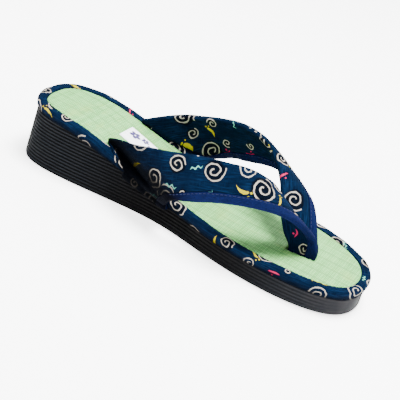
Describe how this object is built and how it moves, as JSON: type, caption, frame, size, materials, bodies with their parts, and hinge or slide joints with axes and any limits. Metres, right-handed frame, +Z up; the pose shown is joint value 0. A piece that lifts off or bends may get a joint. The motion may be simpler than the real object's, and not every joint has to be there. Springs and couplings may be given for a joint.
{
  "type": "zori sandal",
  "caption": "Left thong sandal: ribbed wedge sole, rush-covered insole with a cloth edge, and two wide padded cloth straps meeting at a toe post.",
  "frame": {"origin": "on the floor, under the middle of the sandal's bounding box", "axes": "+X from heel to toe, +Y to the outer (lateral) side of this left sandal, +Z up from the floor"},
  "size_m": [0.2452, 0.095, 0.0644],
  "materials": {
    "sole_rubber": "matte charcoal foam rubber with fine moulded ribs",
    "woven_rush": "pale green woven rush with a soft straw sheen",
    "printed_cloth": "dark indigo slub cotton with a small cream, yellow, red and mint print",
    "binding_cloth": "plain navy cotton bias binding",
    "label_cloth": "white woven label, no lettering"
  },
  "bodies": {
    "root": {"sole": "sole_rubber", "insole": "woven_rush", "rand": "printed_cloth", "upper": "printed_cloth", "binding_medial": "binding_cloth", "binding_lateral": "binding_cloth", "label": "label_cloth"}
  },
  "joints": []
}
